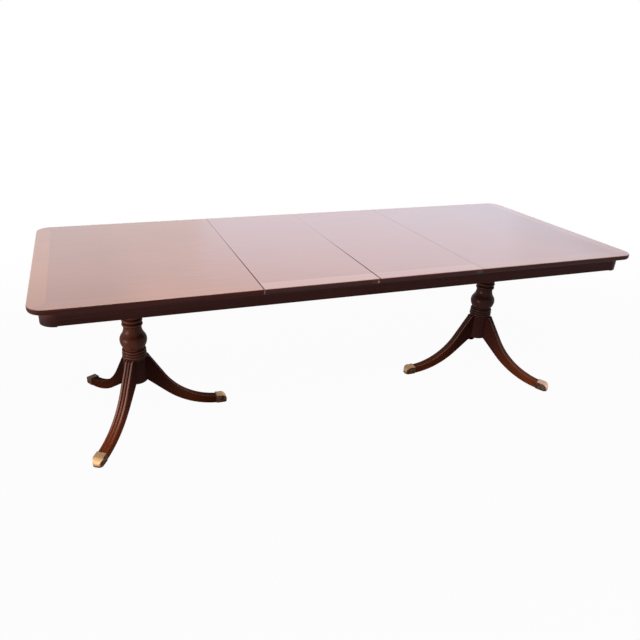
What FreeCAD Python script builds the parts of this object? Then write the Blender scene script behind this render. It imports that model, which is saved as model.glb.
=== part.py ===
import FreeCAD, Part
import math
import os

Vector = FreeCAD.Vector
up = Vector(0, 0, 1)

# Overall sizes: X runs along the table, Y from front to rear, Z up, origin on the floor at the centre
table_height = 750.0
table_width = 990.0
end_section_length = 788.0
leaf_length = 457.0
seam_gap = 0.4

# Working allowances: how far joined shapes run into each other, and how near edges are matched
overlap = 1.0
edge_tolerance = 0.01

# Top boards
top_thickness = 22.0
top_corner_radius = 60.0
top_upper_round = 4.0
top_lower_round = 9.0

# Aprons
apron_height = 53.0
apron_thickness = 20.0
apron_inset = 31.0
apron_corner_radius = 58.0
apron_corner_drop = 2.7

# Alignment pins in the seams
pin_radius = 4.75
pin_reach = 16.0
pin_root = 26.0
pin_spacing = 380.0
pin_tip_round = 3.0
pin_glue_gap = 0.05
pin_clearance = 0.3
pin_socket_spare = 3.0

# Pedestal block under each end section
pedestal_end_distance = 357.0
block_length = 300.0
block_width = 300.0
block_thickness = 34.0
block_chamfer = 14.0
block_screw_margin = 36.0

# Legs: side profile measured out from the column's axis and up from the floor
leg_width = 40.0
leg_toe_height = 34.0
leg_upper_slope = 58.0
leg_straight_run = 68.7
leg_lower_low_reach = 387.0
leg_lower_slope = 42.2
leg_heel_run = 81.2
leg_shoulder_reach = 60.0
leg_ledge_rise = 5.0
toe_length = 20.0
toe_top_lead = 2.0
toe_nose_length = 24.0
toe_nose_drop = 24.0
toe_corner_radius = 14.0

# Reeds along the upper face of each leg
reed_count = 3
reed_depth = 3.6
reed_start = 1.0

# Brass toe caps
cap_length = 50.0
cap_thickness = 1.6
cap_gap = 0.1

# Dovetail that joins a leg to the column's drum
tongue_neck = 16.0
tongue_end = 22.0
tongue_depth = 14.0
tongue_top_drop = 8.0
joint_gap = 0.1

# Column turnings, stacked up from the drum
drum_radius = 50.0
drum_base_drop = 2.5
drum_base_chamfer = 3.0
drum_top_land = 1.0
collar_radius = 51.0
collar_taper = 0.7
collar_bead_count = 3
collar_bead_height = 12.5
collar_bead_swell = 2.4
urn_foot_radius = 44.5
urn_foot_height = 5.0
urn_bowl_height = 35.0
urn_bowl_swell = 3.0
urn_radius = 58.3
urn_ridge_height = 3.0
urn_shoulder_radius = 51.0
urn_shoulder_height = 22.0
urn_shoulder_swell = 1.8
urn_throat_height = 33.0
urn_throat_hollow = 2.6
neck_radius = 38.7
neck_rise = 9.0
neck_bead_count = 3
neck_bead_height = 17.0
neck_bead_swell = 6.0
neck_land = 2.5
shaft_top_radius = 44.0
shaft_hollow = 5.0
capital_radius = 54.0
capital_height = 16.0
capital_swell = 4.0
tenon_radius = 24.0
tenon_length = 28.0

# Iron plate under each drum
plate_margin = 8.0
plate_thickness = 2.5
plate_screw_circle = 26.0

# Screws of the plate, the block and the rails
screw_radius = 2.4
screw_head_radius = 5.0
screw_head_height = 3.0
screw_bite = 14.0
screw_gap = 0.05

# Equalizer slides: an outer, a centre and an inner rail side by side at front and rear
slide_distance = 235.0
rail_length = 1100.0
rail_width = 30.0
rail_height = 48.0
rail_top_gap = 0.3
slide_clearance = 0.4
key_neck = 12.0
key_end = 18.0
key_depth = 8.0
key_bottom_margin = 6.0
rail_screw_count = 3
rail_screw_margin = 50.0
rail_screw_edge = 8.0

# Racks and pinions of the slides
gear_module = 3.0
pinion_teeth = 14
pressure_angle = 20.0
tooth_addendum = 2.4
tooth_dedendum = 3.0
tooth_backlash = 0.3
rack_backing = 4.0
rack_height = 9.0
rack_drop = 10.0
rack_inner_spare = 30.0
rack_end_margin = 16.0
rack_gap = 0.05
pinion_room = 1.2
axle_radius = 4.0
axle_length = 22.0
axle_clearance = 0.05

# Leaf locks under the seams
lock_plate_length = 44.0
lock_plate_width = 36.0
lock_plate_thickness = 2.5
lock_plate_setback = 5.0
lock_post_radius = 4.0
lock_head_radius = 7.0
lock_head_height = 2.0
lock_lever_thickness = 4.0
lock_lever_gap = 0.5
lock_hub_radius = 10.0
lock_arm_half_width = 6.0
lock_hook_half_width = 9.5
lock_hook_lead = 16.0
lock_hook_trail = 10.0
lock_tab_length = 16.0
lock_slot_clearance = 0.5

# Places worked out from the sizes above
top_underside = table_height - top_thickness
apron_bottom = top_underside - apron_height
half_width = table_width / 2
seam_x = leaf_length + seam_gap
inner_x = seam_x + seam_gap / 2
outer_x = inner_x + end_section_length
apron_face_y = half_width - apron_inset
apron_face_x = outer_x - apron_inset
pedestal_x = outer_x - pedestal_end_distance
block_bottom = top_underside - block_thickness
pin_z = top_underside + top_thickness / 2
leg_sole = cap_thickness + cap_gap
leg_reach = leg_lower_low_reach + toe_length
leg_upper_low_reach = leg_lower_low_reach + toe_top_lead
seat_reach = math.sqrt(drum_radius ** 2 - (leg_width / 2) ** 2)
leg_upper_spread = leg_upper_low_reach - leg_shoulder_reach - leg_straight_run
leg_upper_radius = leg_upper_spread / math.sin(math.radians(leg_upper_slope))
leg_lower_spread = leg_lower_low_reach - seat_reach - leg_heel_run
leg_lower_radius = leg_lower_spread / math.sin(math.radians(leg_lower_slope))
nose_start = leg_reach - toe_nose_length
cap_start = leg_reach - cap_length
pitch_radius = gear_module * pinion_teeth / 2
rack_pitch = math.pi * gear_module
rail_inner_face = pitch_radius - tooth_addendum
rail_outer_face = rail_inner_face + rail_width
centre_half_width = rail_inner_face - slide_clearance
rail_top = top_underside - rail_top_gap
rail_bottom = rail_top - rail_height
rack_top = rail_top - rack_drop
rack_bottom = rack_top - rack_height


def box(x0, x1, y0, y1, z0, z1):
    return Part.makeBox(x1 - x0, y1 - y0, z1 - z0, Vector(x0, y0, z0))


def cylinder(radius, start, direction, length):
    return Part.makeCylinder(radius, length, start, direction)


def prism(points, direction):
    return Part.Face(Part.makePolygon(points + points[:1])).extrude(direction)


def line(start, end):
    return Part.LineSegment(start, end).toShape()


def arc(start, middle, end):
    return Part.Arc(start, middle, end).toShape()


def near(first, second):
    return abs(first - second) < edge_tolerance


def mirrored(shape, side):
    return shape if side > 0 else shape.mirror(Vector(0, 0, 0), Vector(1, 0, 0))


def flipped(shape):
    return shape.mirror(Vector(0, 0, 0), Vector(0, 1, 0))


def group(shapes):
    return Part.makeCompound(shapes)


def save(name, shape):
    shape.exportStep("parts/" + name + ".step")


# Top boards and aprons, with the end section made at the right end

def round_rim(board, level, radius, seams):
    def on_rim(edge):
        bounds = edge.BoundBox
        flat = near(bounds.ZMin, level) and near(bounds.ZMax, level)
        on_seam = any(near(bounds.XMin, x) and near(bounds.XMax, x) for x in seams)
        return flat and not on_seam
    return board.makeFillet(radius, [edge for edge in board.Edges if on_rim(edge)])


def end_board():
    board = box(inner_x, outer_x, -half_width, half_width, top_underside, table_height)
    corners = [edge for edge in board.Edges
               if edge.BoundBox.ZLength > top_thickness / 2 and edge.BoundBox.XMin > outer_x - overlap]
    board = board.makeFillet(top_corner_radius, corners)
    board = round_rim(board, table_height, top_upper_round, [inner_x])
    return round_rim(board, top_underside, top_lower_round, [inner_x])


def leaf_board(start, end):
    board = box(start, end, -half_width, half_width, top_underside, table_height)
    board = round_rim(board, table_height, top_upper_round, [start, end])
    return round_rim(board, top_underside, top_lower_round, [start, end])


def front_apron(start, end):
    return box(start, end, -apron_face_y, apron_thickness - apron_face_y, apron_bottom, top_underside)


def end_apron():
    reach = apron_face_y - apron_corner_radius
    return box(apron_face_x - apron_thickness, apron_face_x, -reach, reach, apron_bottom, top_underside)


def apron_corner():
    height = apron_height + apron_corner_drop
    centre = Vector(apron_face_x - apron_corner_radius, apron_face_y - apron_corner_radius,
                    top_underside - height)
    outer = Part.makeCylinder(apron_corner_radius, height, centre, up, 90)
    inner = Part.makeCylinder(apron_corner_radius - apron_thickness, height, centre, up, 90)
    return outer.cut(inner)


# Alignment pins, each fixed in the panel on the left of its seam

def pin_places():
    return [-pin_spacing, 0.0, pin_spacing]


def seam_pins(seam):
    start = seam - seam_gap / 2 - pin_root
    pins = []
    for y in pin_places():
        pin = cylinder(pin_radius, Vector(start, y, pin_z), Vector(1, 0, 0), pin_root + pin_reach)
        tip = [edge for edge in pin.Edges if edge.BoundBox.XMin > seam]
        pins.append(pin.makeFillet(pin_tip_round, tip))
    return group(pins)


def pin_holes(seam):
    left_face = seam - seam_gap / 2
    right_face = seam + seam_gap / 2
    holes = []
    for y in pin_places():
        root = Vector(left_face - pin_root, y, pin_z)
        holes.append(cylinder(pin_radius + pin_glue_gap, root, Vector(1, 0, 0), pin_root + seam_gap / 2))
        socket = Vector(right_face - seam_gap / 2, y, pin_z)
        depth = pin_reach + pin_socket_spare
        holes.append(cylinder(pin_radius + pin_clearance, socket, Vector(1, 0, 0), depth))
    return holes


# Screws stand along Z with their heads down

def screw(place, grip, gap=0.0):
    head_base = place - up * screw_head_height
    head = cylinder(screw_head_radius + gap, head_base, up, screw_head_height)
    shank = cylinder(screw_radius + gap, place, up, grip + screw_bite + gap)
    return head.fuse(shank)


def block_screws(gap=0.0):
    reach_x = block_length / 2 - block_screw_margin
    reach_y = block_width / 2 - block_screw_margin
    return [screw(Vector(pedestal_x + sx * reach_x, sy * reach_y, block_bottom), block_thickness, gap)
            for sx in (-1, 1) for sy in (-1, 1)]


def plate_screws(gap=0.0):
    screws = []
    for turn in range(3):
        angle = math.radians(120 * turn)
        place = Vector(pedestal_x + plate_screw_circle * math.cos(angle),
                       plate_screw_circle * math.sin(angle), drum_bottom - plate_thickness)
        screws.append(screw(place, plate_thickness, gap))
    return screws


def rail_screws(side, gap=0.0):
    across = rail_outer_face - rail_screw_edge
    first = inner_x + rail_screw_margin
    last = seam_x + rail_length / 2 - rail_screw_margin
    step = (last - first) / (rail_screw_count - 1)
    y = slide_distance - side * across
    return [screw(Vector(side * (first + step * index), end * y, rail_bottom), rail_height, gap)
            for index in range(rail_screw_count) for end in (-1, 1)]


# Legs, made along +X from the column's axis

def leg_points(top_offset, offset):
    upper = math.radians(leg_upper_slope)
    lower = math.radians(leg_lower_slope)
    upper_centre = Vector(leg_upper_low_reach, 0, leg_toe_height + leg_upper_radius)
    lower_centre = Vector(leg_lower_low_reach, 0, leg_sole + leg_lower_radius)
    upper_radius = leg_upper_radius - top_offset
    lower_radius = leg_lower_radius + offset

    def on_upper(angle):
        return upper_centre - Vector(math.sin(angle), 0, math.cos(angle)) * upper_radius

    def on_lower(angle):
        return lower_centre - Vector(math.sin(angle), 0, math.cos(angle)) * lower_radius

    nose = math.asin((leg_upper_low_reach - nose_start) / upper_radius)
    bend = on_upper(upper)
    shoulder_run = bend.x - leg_shoulder_reach
    shoulder = Vector(leg_shoulder_reach, 0, bend.z + shoulder_run * math.tan(upper))
    seat = seat_reach - offset
    heel_bend = on_lower(lower)
    heel = Vector(seat, 0, heel_bend.z + (heel_bend.x - seat) * math.tan(lower))
    return {
        "bend": bend, "upper_middle": on_upper((upper + nose) / 2), "nose_top": on_upper(nose),
        "shoulder": shoulder, "ledge": Vector(seat, 0, shoulder.z + leg_ledge_rise),
        "heel": heel, "heel_bend": heel_bend, "lower_middle": on_lower(lower / 2),
        "lower_low": on_lower(0), "end": leg_reach + offset,
        "upper_end": on_upper(math.asin((leg_upper_low_reach - cap_start) / upper_radius)),
    }


def leg_side_face(top_offset, offset):
    p = leg_points(top_offset, offset)
    nose_top = p["nose_top"]
    nose_front = Vector(p["end"], 0, nose_top.z - toe_nose_drop - offset)
    swing = math.sqrt(0.5)
    nose_middle = Vector(nose_top.x + (nose_front.x - nose_top.x) * swing, 0,
                         nose_front.z + (nose_top.z - nose_front.z) * swing)
    toe_foot = Vector(p["end"], 0, p["lower_low"].z)
    edges = [
        line(p["ledge"], p["shoulder"]),
        line(p["shoulder"], p["bend"]),
        arc(p["bend"], p["upper_middle"], nose_top),
        arc(nose_top, nose_middle, nose_front),
        line(nose_front, toe_foot),
        line(toe_foot, p["lower_low"]),
        arc(p["lower_low"], p["lower_middle"], p["heel_bend"]),
        line(p["heel_bend"], p["heel"]),
        line(p["heel"], p["ledge"]),
    ]
    return Part.Face(Part.Wire(edges))


def leg_plan(offset):
    reach = leg_reach + offset
    half = leg_width / 2 + offset
    plan = box(0, reach, -half, half, -leg_reach, table_height)
    ends = [edge for edge in plan.Edges
            if edge.BoundBox.ZLength > leg_reach and edge.BoundBox.XMin > reach - overlap]
    return plan.makeFillet(toe_corner_radius + offset, ends)


def leg_form(offset):
    face = leg_side_face(offset, offset)
    wide = leg_width + 2 * (offset + overlap)
    blank = face.extrude(Vector(0, wide, 0))
    blank.translate(Vector(0, -wide / 2, 0))
    return blank.common(leg_plan(offset))


def leg_tongue(gap):
    p = leg_points(0, 0)
    inner = seat_reach - tongue_depth - gap
    outer = drum_radius
    neck = tongue_neck / 2 + gap
    end = tongue_end / 2 + gap
    top = p["ledge"].z - tongue_top_drop + gap
    points = [Vector(outer, -neck, drum_bottom), Vector(outer, neck, drum_bottom),
              Vector(seat_reach, neck, drum_bottom), Vector(inner, end, drum_bottom),
              Vector(inner, -end, drum_bottom), Vector(seat_reach, -neck, drum_bottom)]
    return prism(points, up * (top - drum_bottom))


def reed_cutter():
    p = leg_points(0, 0)
    slope = math.radians(leg_upper_slope)
    along = Vector(math.cos(slope), 0, -math.sin(slope))
    out = Vector(math.sin(slope), 0, math.cos(slope))
    start = p["shoulder"] + along * reed_start
    pitch = leg_width / reed_count
    spare = reed_depth

    def at(across, height):
        return start + Vector(0, across, 0) + out * height

    edges = []
    for index in range(reed_count):
        left = -leg_width / 2 + pitch * index
        edges.append(arc(at(left, -reed_depth), at(left + pitch / 2, 0), at(left + pitch, -reed_depth)))
    side = leg_width / 2
    rim = [at(side, -reed_depth), at(side + spare, -reed_depth), at(side + spare, spare),
           at(-side - spare, spare), at(-side - spare, -reed_depth), at(-side, -reed_depth)]
    edges += [line(first, second) for first, second in zip(rim, rim[1:])]
    end_angle = math.asin((leg_upper_low_reach - cap_start) / leg_upper_radius)
    middle_angle = (slope + end_angle) / 2
    centre = Vector(leg_upper_low_reach, 0, leg_toe_height + leg_upper_radius)
    middle = centre - Vector(math.sin(middle_angle), 0, math.cos(middle_angle)) * leg_upper_radius
    path = Part.Wire([line(start, p["bend"]), arc(p["bend"], middle, p["upper_end"])])
    return path.makePipeShell([Part.Wire(edges)], True, False)


def make_leg():
    root = leg_tongue(0.0).common(box(0, seat_reach, -leg_width, leg_width, 0, table_height))
    return leg_form(0.0).cut(reed_cutter()).fuse(root).removeSplitter()


def make_toe_cap():
    outer = leg_form(cap_thickness + cap_gap)
    inner = leg_form(cap_gap)
    reach = leg_reach + cap_length
    return outer.cut(inner).common(box(cap_start, reach, -leg_width, leg_width, -leg_width, leg_reach))


def leg_pocket():
    reach = box(0, drum_radius * 2, -leg_width, leg_width, 0, table_height)
    return leg_form(joint_gap).common(reach).fuse(leg_tongue(joint_gap))


# Columns, turned about their own axis

leg_ledge = leg_points(0, 0)["ledge"].z
drum_bottom = leg_points(0, 0)["heel"].z - drum_base_drop


def column_turning():
    edges = []
    place = Vector(0, 0, drum_bottom)

    def turn(radius, rise, swell=0.0):
        nonlocal place
        end = Vector(radius, 0, place.z + rise)
        if swell:
            chord = end - place
            outward = Vector(chord.z, 0, -chord.x).normalize()
            edges.append(arc(place, (place + end) * 0.5 + outward * swell, end))
        else:
            edges.append(line(place, end))
        place = end

    turn(drum_radius - drum_base_chamfer, 0)
    turn(drum_radius, drum_base_chamfer)
    turn(drum_radius, leg_ledge + drum_top_land - place.z)
    turn(collar_radius, 0)
    for bead in range(1, collar_bead_count + 1):
        turn(collar_radius - collar_taper * bead, collar_bead_height, collar_bead_swell)
    turn(urn_foot_radius, 0)
    turn(urn_foot_radius, urn_foot_height)
    turn(urn_radius, urn_bowl_height, urn_bowl_swell)
    turn(urn_radius, urn_ridge_height)
    turn(urn_shoulder_radius, urn_shoulder_height, urn_shoulder_swell)
    turn(neck_radius, urn_throat_height, -urn_throat_hollow)
    turn(neck_radius, neck_rise)
    for bead in range(neck_bead_count):
        turn(neck_radius, neck_bead_height, neck_bead_swell)
        turn(neck_radius, neck_land)
    turn(shaft_top_radius, block_bottom - capital_height - place.z, -shaft_hollow)
    turn(capital_radius, 0)
    turn(capital_radius, capital_height, capital_swell)
    turn(tenon_radius, 0)
    turn(tenon_radius, tenon_length)
    turn(0, 0)
    edges.append(line(place, Vector(0, 0, drum_bottom)))
    return Part.Face(Part.Wire(edges)).revolve(Vector(0, 0, 0), up, 360)


def leg_angles():
    return {"inner": 180, "front": -60, "rear": 60}


def spun(shape, angle):
    copy = shape.copy()
    copy.rotate(Vector(0, 0, 0), up, angle)
    copy.translate(Vector(pedestal_x, 0, 0))
    return copy


def make_column():
    column = spun(column_turning(), 0)
    pocket = leg_pocket()
    for angle in leg_angles().values():
        column = column.cut(spun(pocket, angle))
    for hole in plate_screws(screw_gap):
        column = column.cut(hole)
    return column


def make_block():
    half_length = block_length / 2
    block = box(pedestal_x - half_length, pedestal_x + half_length, -block_width / 2, block_width / 2,
                block_bottom, top_underside)
    rim = [edge for edge in block.Edges if edge.BoundBox.ZMax < block_bottom + overlap]
    block = block.makeChamfer(block_chamfer, rim)
    mortise = Vector(pedestal_x, 0, block_bottom)
    block = block.cut(cylinder(tenon_radius + joint_gap, mortise, up, tenon_length + joint_gap))
    for hole in block_screws(screw_gap):
        block = block.cut(hole)
    return block


def make_plate():
    base = Vector(pedestal_x, 0, drum_bottom - plate_thickness)
    plate = cylinder(drum_radius - plate_margin, base, up, plate_thickness)
    for hole in plate_screws(screw_gap):
        plate = plate.cut(hole)
    return plate


# Slides: made at y = 0 around the pinion's axis, then moved to the front and the rear

def key(face, direction, gap):
    low = rail_bottom + key_bottom_margin + key_end / 2
    neck = key_neck / 2 + gap
    end = key_end / 2 + gap
    tip = face - direction * (key_depth + gap)
    root = face + direction * gap
    return [Vector(0, root, low - neck), Vector(0, tip, low - end),
            Vector(0, tip, low + end), Vector(0, root, low + neck)]


def rack(side, direction, gap=0.0):
    toward_centre = side * (seam_x - rail_length / 2 + rack_end_margin)
    toward_end = side * (seam_x + rack_inner_spare)
    low, high = sorted([toward_centre, toward_end])
    tip = pitch_radius - tooth_addendum
    root = pitch_radius + tooth_dedendum
    back = root + rack_backing
    if gap:
        near, deep = sorted([direction * (tip - gap), direction * (back + gap)])
        return box(low - gap, high + gap, near, deep, rack_bottom - gap, rack_top + gap)
    lean = math.tan(math.radians(pressure_angle))
    half = rack_pitch / 4 - tooth_backlash / 2
    tip_half = half - tooth_addendum * lean
    root_half = half + tooth_dedendum * lean
    first = math.ceil((low + root_half) / rack_pitch - 0.5)
    last = math.floor((high - root_half) / rack_pitch - 0.5)
    points = [(low, back), (low, root)]
    for index in range(first, last + 1):
        middle = (index + 0.5) * rack_pitch
        points += [(middle - root_half, root), (middle - tip_half, tip),
                   (middle + tip_half, tip), (middle + root_half, root)]
    points += [(high, root), (high, back)]
    return prism([Vector(x, direction * y, rack_bottom) for x, y in points], up * rack_height)


def side_rail(side, direction):
    middle = side * seam_x
    low, high = middle - rail_length / 2, middle + rail_length / 2
    near, far = sorted([direction * rail_inner_face, direction * rail_outer_face])
    rail = box(low, high, near, far, rail_bottom, rail_top)
    tongue = prism(key(direction * rail_inner_face, direction, 0.0), Vector(rail_length, 0, 0))
    tongue.translate(Vector(low, 0, 0))
    return rail.fuse(tongue).removeSplitter().cut(rack(side, direction, rack_gap))


def centre_rail():
    half = rail_length / 2
    rail = box(-half, half, -centre_half_width, centre_half_width, rail_bottom, rail_top)
    for direction in (-1, 1):
        outline = key(direction * rail_inner_face, direction, slide_clearance)
        groove = prism(outline, Vector(rail_length, 0, 0))
        groove.translate(Vector(-half, 0, 0))
        rail = rail.cut(groove)
    room = pitch_radius + tooth_addendum + pinion_room
    pocket = Vector(0, 0, rack_bottom - pinion_room / 2)
    rail = rail.cut(cylinder(room, pocket, up, rack_height + pinion_room))
    return rail.cut(axle(screw_gap))


def axle(gap=0.0):
    middle = (rack_top + rack_bottom) / 2
    length = axle_length + 2 * gap
    return cylinder(axle_radius + gap, Vector(0, 0, middle - length / 2), up, length)


def pinion():
    outer = pitch_radius + tooth_addendum
    root = pitch_radius - tooth_dedendum
    base = pitch_radius * math.cos(math.radians(pressure_angle))

    def involute(radius):
        lean = math.acos(base / radius)
        return math.tan(lean) - lean

    half = math.pi / (2 * pinion_teeth) - tooth_backlash / (2 * pitch_radius)
    flank = [root, base, pitch_radius, outer]
    half_angles = [half + involute(pitch_radius) - involute(max(radius, base)) for radius in flank]
    points = []
    for tooth in range(pinion_teeth):
        middle = math.pi / 2 + 2 * math.pi * tooth / pinion_teeth
        rising = [(radius, middle - angle) for radius, angle in zip(flank, half_angles)]
        falling = [(radius, middle + angle) for radius, angle in zip(flank, half_angles)]
        for radius, angle in rising + falling[::-1]:
            points.append(Vector(radius * math.cos(angle), radius * math.sin(angle), rack_bottom))
    bore = cylinder(axle_radius + axle_clearance, Vector(0, 0, rack_bottom), up, rack_height)
    return prism(points, up * rack_height).cut(bore)


def at_rear(shape):
    copy = shape.copy()
    copy.translate(Vector(0, slide_distance, 0))
    return copy


# Leaf locks, each with its pivot on the left of the seam and its stud on the right

def lock_post(x):
    plate = box(x - lock_plate_length / 2, x + lock_plate_length / 2, -lock_plate_width / 2,
                lock_plate_width / 2, top_underside - lock_plate_thickness, top_underside)
    drop = lock_plate_thickness + lock_lever_thickness + 2 * lock_lever_gap
    post = cylinder(lock_post_radius, Vector(x, 0, top_underside - drop), up, drop)
    head_base = Vector(x, 0, top_underside - drop - lock_head_height)
    head = cylinder(lock_head_radius, head_base, up, lock_head_height)
    return plate.fuse(post).fuse(head).removeSplitter()


def lock_span():
    return lock_plate_length + 2 * lock_plate_setback


def lock_lever(x):
    reach = lock_span()
    top = top_underside - lock_plate_thickness - lock_lever_gap
    base = Vector(0, 0, top - lock_lever_thickness)

    def ring(radius, start_angle, end_angle):
        piece = Part.makeCylinder(radius, lock_lever_thickness, base, up, end_angle - start_angle)
        piece.rotate(Vector(0, 0, 0), up, start_angle)
        return piece

    slot_half = lock_post_radius + lock_slot_clearance
    hook = ring(reach + lock_hook_half_width, 90 - lock_hook_lead, 90 + lock_hook_trail)
    hook = hook.cut(ring(reach - lock_hook_half_width, 0, 180))
    slot = ring(reach + slot_half, 0, 90).cut(ring(reach - slot_half, 0, 90))
    seat = cylinder(slot_half, base + Vector(0, reach, 0), up, lock_lever_thickness)
    tab_start = reach + lock_hook_half_width - overlap
    arm_end = reach - lock_hook_half_width + overlap
    tab = box(-lock_arm_half_width, lock_arm_half_width, tab_start, tab_start + lock_tab_length,
              base.z, top)
    arm = box(-lock_arm_half_width, lock_arm_half_width, 0, arm_end, base.z, top)
    hub = cylinder(lock_hub_radius, base, up, lock_lever_thickness)
    bore = cylinder(lock_post_radius + axle_clearance, base, up, lock_lever_thickness)
    lever = hook.fuse([arm, hub, tab]).removeSplitter().cut(slot).cut(seat).cut(bore)
    lever.translate(Vector(x, 0, 0))
    return lever


# Cutting the fixings into the boards and rails

def drilled(shape, holes):
    for hole in holes:
        shape = shape.cut(hole)
    return shape


os.makedirs("parts", exist_ok=True)

leg = make_leg()
toe_cap = make_toe_cap()
column = make_column()
block = make_block()
plate = make_plate()
corner_pair = group([apron_corner(), flipped(apron_corner())])
straight_apron = front_apron(inner_x, apron_face_x - apron_corner_radius)
board = end_board()
sides = {"left": -1, "right": 1}

for name, side in sides.items():
    fixings = [mirrored(hole, side) for hole in block_screws(screw_gap)] + rail_screws(side, screw_gap)
    top = drilled(mirrored(board, side), pin_holes(side * seam_x) + fixings)
    save(name + "_top", top)
    save(name + "_front_apron", mirrored(straight_apron, side))
    save(name + "_rear_apron", mirrored(flipped(straight_apron), side))
    save(name + "_end_apron", mirrored(end_apron(), side))
    save(name + "_apron_corners", mirrored(corner_pair, side))
    save(name + "_pedestal_block", mirrored(block, side))
    save(name + "_column", mirrored(column, side))
    save(name + "_base_plate", mirrored(plate, side))
    for place, angle in leg_angles().items():
        save(name + "_leg_" + place, mirrored(spun(leg, angle), side))
        save(name + "_toe_cap_" + place, mirrored(spun(toe_cap, angle), side))
    rear_rail = drilled(at_rear(side_rail(side, -side)), rail_screws(side, screw_gap))
    save(name + "_rail_rear", rear_rail)
    save(name + "_rail_front", flipped(rear_rail))
    rear_rack = at_rear(rack(side, -side))
    save(name + "_racks", group([rear_rack, flipped(rear_rack)]))
    own_screws = [mirrored(item, side) for item in block_screws() + plate_screws()]
    save(name + "_screws", group(own_screws + rail_screws(side)))

leaf_starts = {"leaf_1": -seam_x, "leaf_2": 0.0}
for name, seam in leaf_starts.items():
    start = seam + seam_gap / 2
    end = start + leaf_length
    leaf = drilled(leaf_board(start, end), pin_holes(seam) + pin_holes(seam + seam_x))
    save(name + "_board", leaf)
    save(name + "_front_apron", front_apron(start, end))
    save(name + "_rear_apron", flipped(front_apron(start, end)))

pin_owners = {"left": -seam_x, "leaf_1": 0.0, "leaf_2": seam_x}
for number, (owner, seam) in enumerate(pin_owners.items(), start=1):
    save(owner + "_pins", seam_pins(seam))
    pivot_x = seam - lock_span() / 2
    save("lock_%d_plate" % number, lock_post(pivot_x))
    save("lock_%d_catch" % number, lock_post(pivot_x + lock_span()))
    save("lock_%d_lever" % number, lock_lever(pivot_x))

rear_centre_rail = at_rear(centre_rail())
rear_pinion = at_rear(pinion())
save("centre_rail_rear", rear_centre_rail)
save("centre_rail_front", flipped(rear_centre_rail))
save("pinion_rear", rear_pinion)
save("pinion_front", flipped(rear_pinion))
save("pinion_axles", group([at_rear(axle()), flipped(at_rear(axle()))]))
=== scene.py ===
import bpy
import math
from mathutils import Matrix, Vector


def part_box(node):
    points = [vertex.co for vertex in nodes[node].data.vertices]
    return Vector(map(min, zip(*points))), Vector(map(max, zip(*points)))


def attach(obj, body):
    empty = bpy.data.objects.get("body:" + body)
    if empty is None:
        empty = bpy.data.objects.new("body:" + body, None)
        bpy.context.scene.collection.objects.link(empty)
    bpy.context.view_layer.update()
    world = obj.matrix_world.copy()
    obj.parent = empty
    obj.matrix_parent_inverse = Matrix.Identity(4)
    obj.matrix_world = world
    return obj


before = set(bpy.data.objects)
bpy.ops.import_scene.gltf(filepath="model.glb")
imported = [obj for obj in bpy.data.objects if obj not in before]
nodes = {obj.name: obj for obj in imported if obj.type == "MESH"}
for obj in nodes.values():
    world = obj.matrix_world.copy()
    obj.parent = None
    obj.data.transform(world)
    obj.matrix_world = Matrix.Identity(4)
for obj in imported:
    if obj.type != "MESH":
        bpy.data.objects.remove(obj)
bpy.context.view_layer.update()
bpy.ops.object.select_all(action="DESELECT")  # the frame comes in selected
print("frame loaded with", len(nodes), "nodes")


# shared shader steps

def plug(tree, socket, value):  # links a wire, or sets a plain value
    if isinstance(value, Wire):
        tree.links.new(value.socket, socket)
    else:
        socket.default_value = value


class Wire:  # a shader socket that can stand in a sum
    def __init__(self, tree, socket=None):
        self.tree = tree
        self.socket = socket

    def node(self, kind, settings={}, sockets={}, out=0):  # any node: settings first, then its sockets
        made = self.tree.nodes.new(kind)
        for name, value in settings.items():
            setattr(made, name, value)
        for name, value in sockets.items():
            plug(self.tree, made.inputs[name], value)
        return Wire(self.tree, made.outputs[out])

    def maths(self, operation, *values):
        return self.node("ShaderNodeMath", {"operation": operation}, dict(enumerate(values)))

    def __add__(self, other):
        return self.maths("ADD", self, other)

    def __sub__(self, other):
        return self.maths("SUBTRACT", self, other)

    def __rsub__(self, other):
        return self.maths("SUBTRACT", other, self)

    def __mul__(self, other):
        return self.maths("MULTIPLY", self, other)

    def __truediv__(self, other):
        return self.maths("DIVIDE", self, other)

    def __gt__(self, other):
        return self.maths("GREATER_THAN", self, other)

    def __lt__(self, other):
        return self.maths("LESS_THAN", self, other)

    def __abs__(self):
        return self.maths("ABSOLUTE", self)

    __radd__ = __add__
    __rmul__ = __mul__


def newFinish(name):
    material = bpy.data.materials.new(name)
    material.use_nodes = True
    return material, Wire(material.node_tree)


def setShader(material, sockets):
    shader = material.node_tree.nodes["Principled BSDF"]
    for name, value in sockets.items():
        plug(material.node_tree, shader.inputs[name], value)


def parted(w, vector):  # x, y and z of a vector
    split = w.node("ShaderNodeSeparateXYZ", {}, {0: vector})
    return [Wire(w.tree, part) for part in split.socket.node.outputs]


def joined(w, x, y, z):
    return w.node("ShaderNodeCombineXYZ", {}, {0: x, 1: y, 2: z})


def objectPlace(w, centre=(0, 0, 0), turn=0.0):  # metres from a centre, turned about Z
    place = w.node("ShaderNodeTexCoord", out="Object")
    return parted(w, w.node("ShaderNodeMapping", {"vector_type": "TEXTURE"},
                            {"Vector": place, "Location": centre, "Rotation": (0, 0, turn)}))


def surfaceNormal(w):
    return parted(w, w.node("ShaderNodeNewGeometry", out="Normal"))


def noise(w, vector, scale=1.0, detail=2.0, rough=0.5):
    return w.node("ShaderNodeTexNoise", {},
                  {"Vector": vector, "Scale": scale, "Detail": detail, "Roughness": rough})


def ease(w, value, low, high):  # 0 below low, 1 above high
    return w.node("ShaderNodeMapRange", {"interpolation_type": "SMOOTHSTEP"},
                  {"Value": value, "From Min": low, "From Max": high})


def within(w, value, low, high, blur):  # 1 between low and high
    return ease(w, value, low - blur, low + blur) * (1 - ease(w, value, high - blur, high + blur))


def larger(w, first, second):
    return w.maths("MAXIMUM", first, second)


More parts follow.
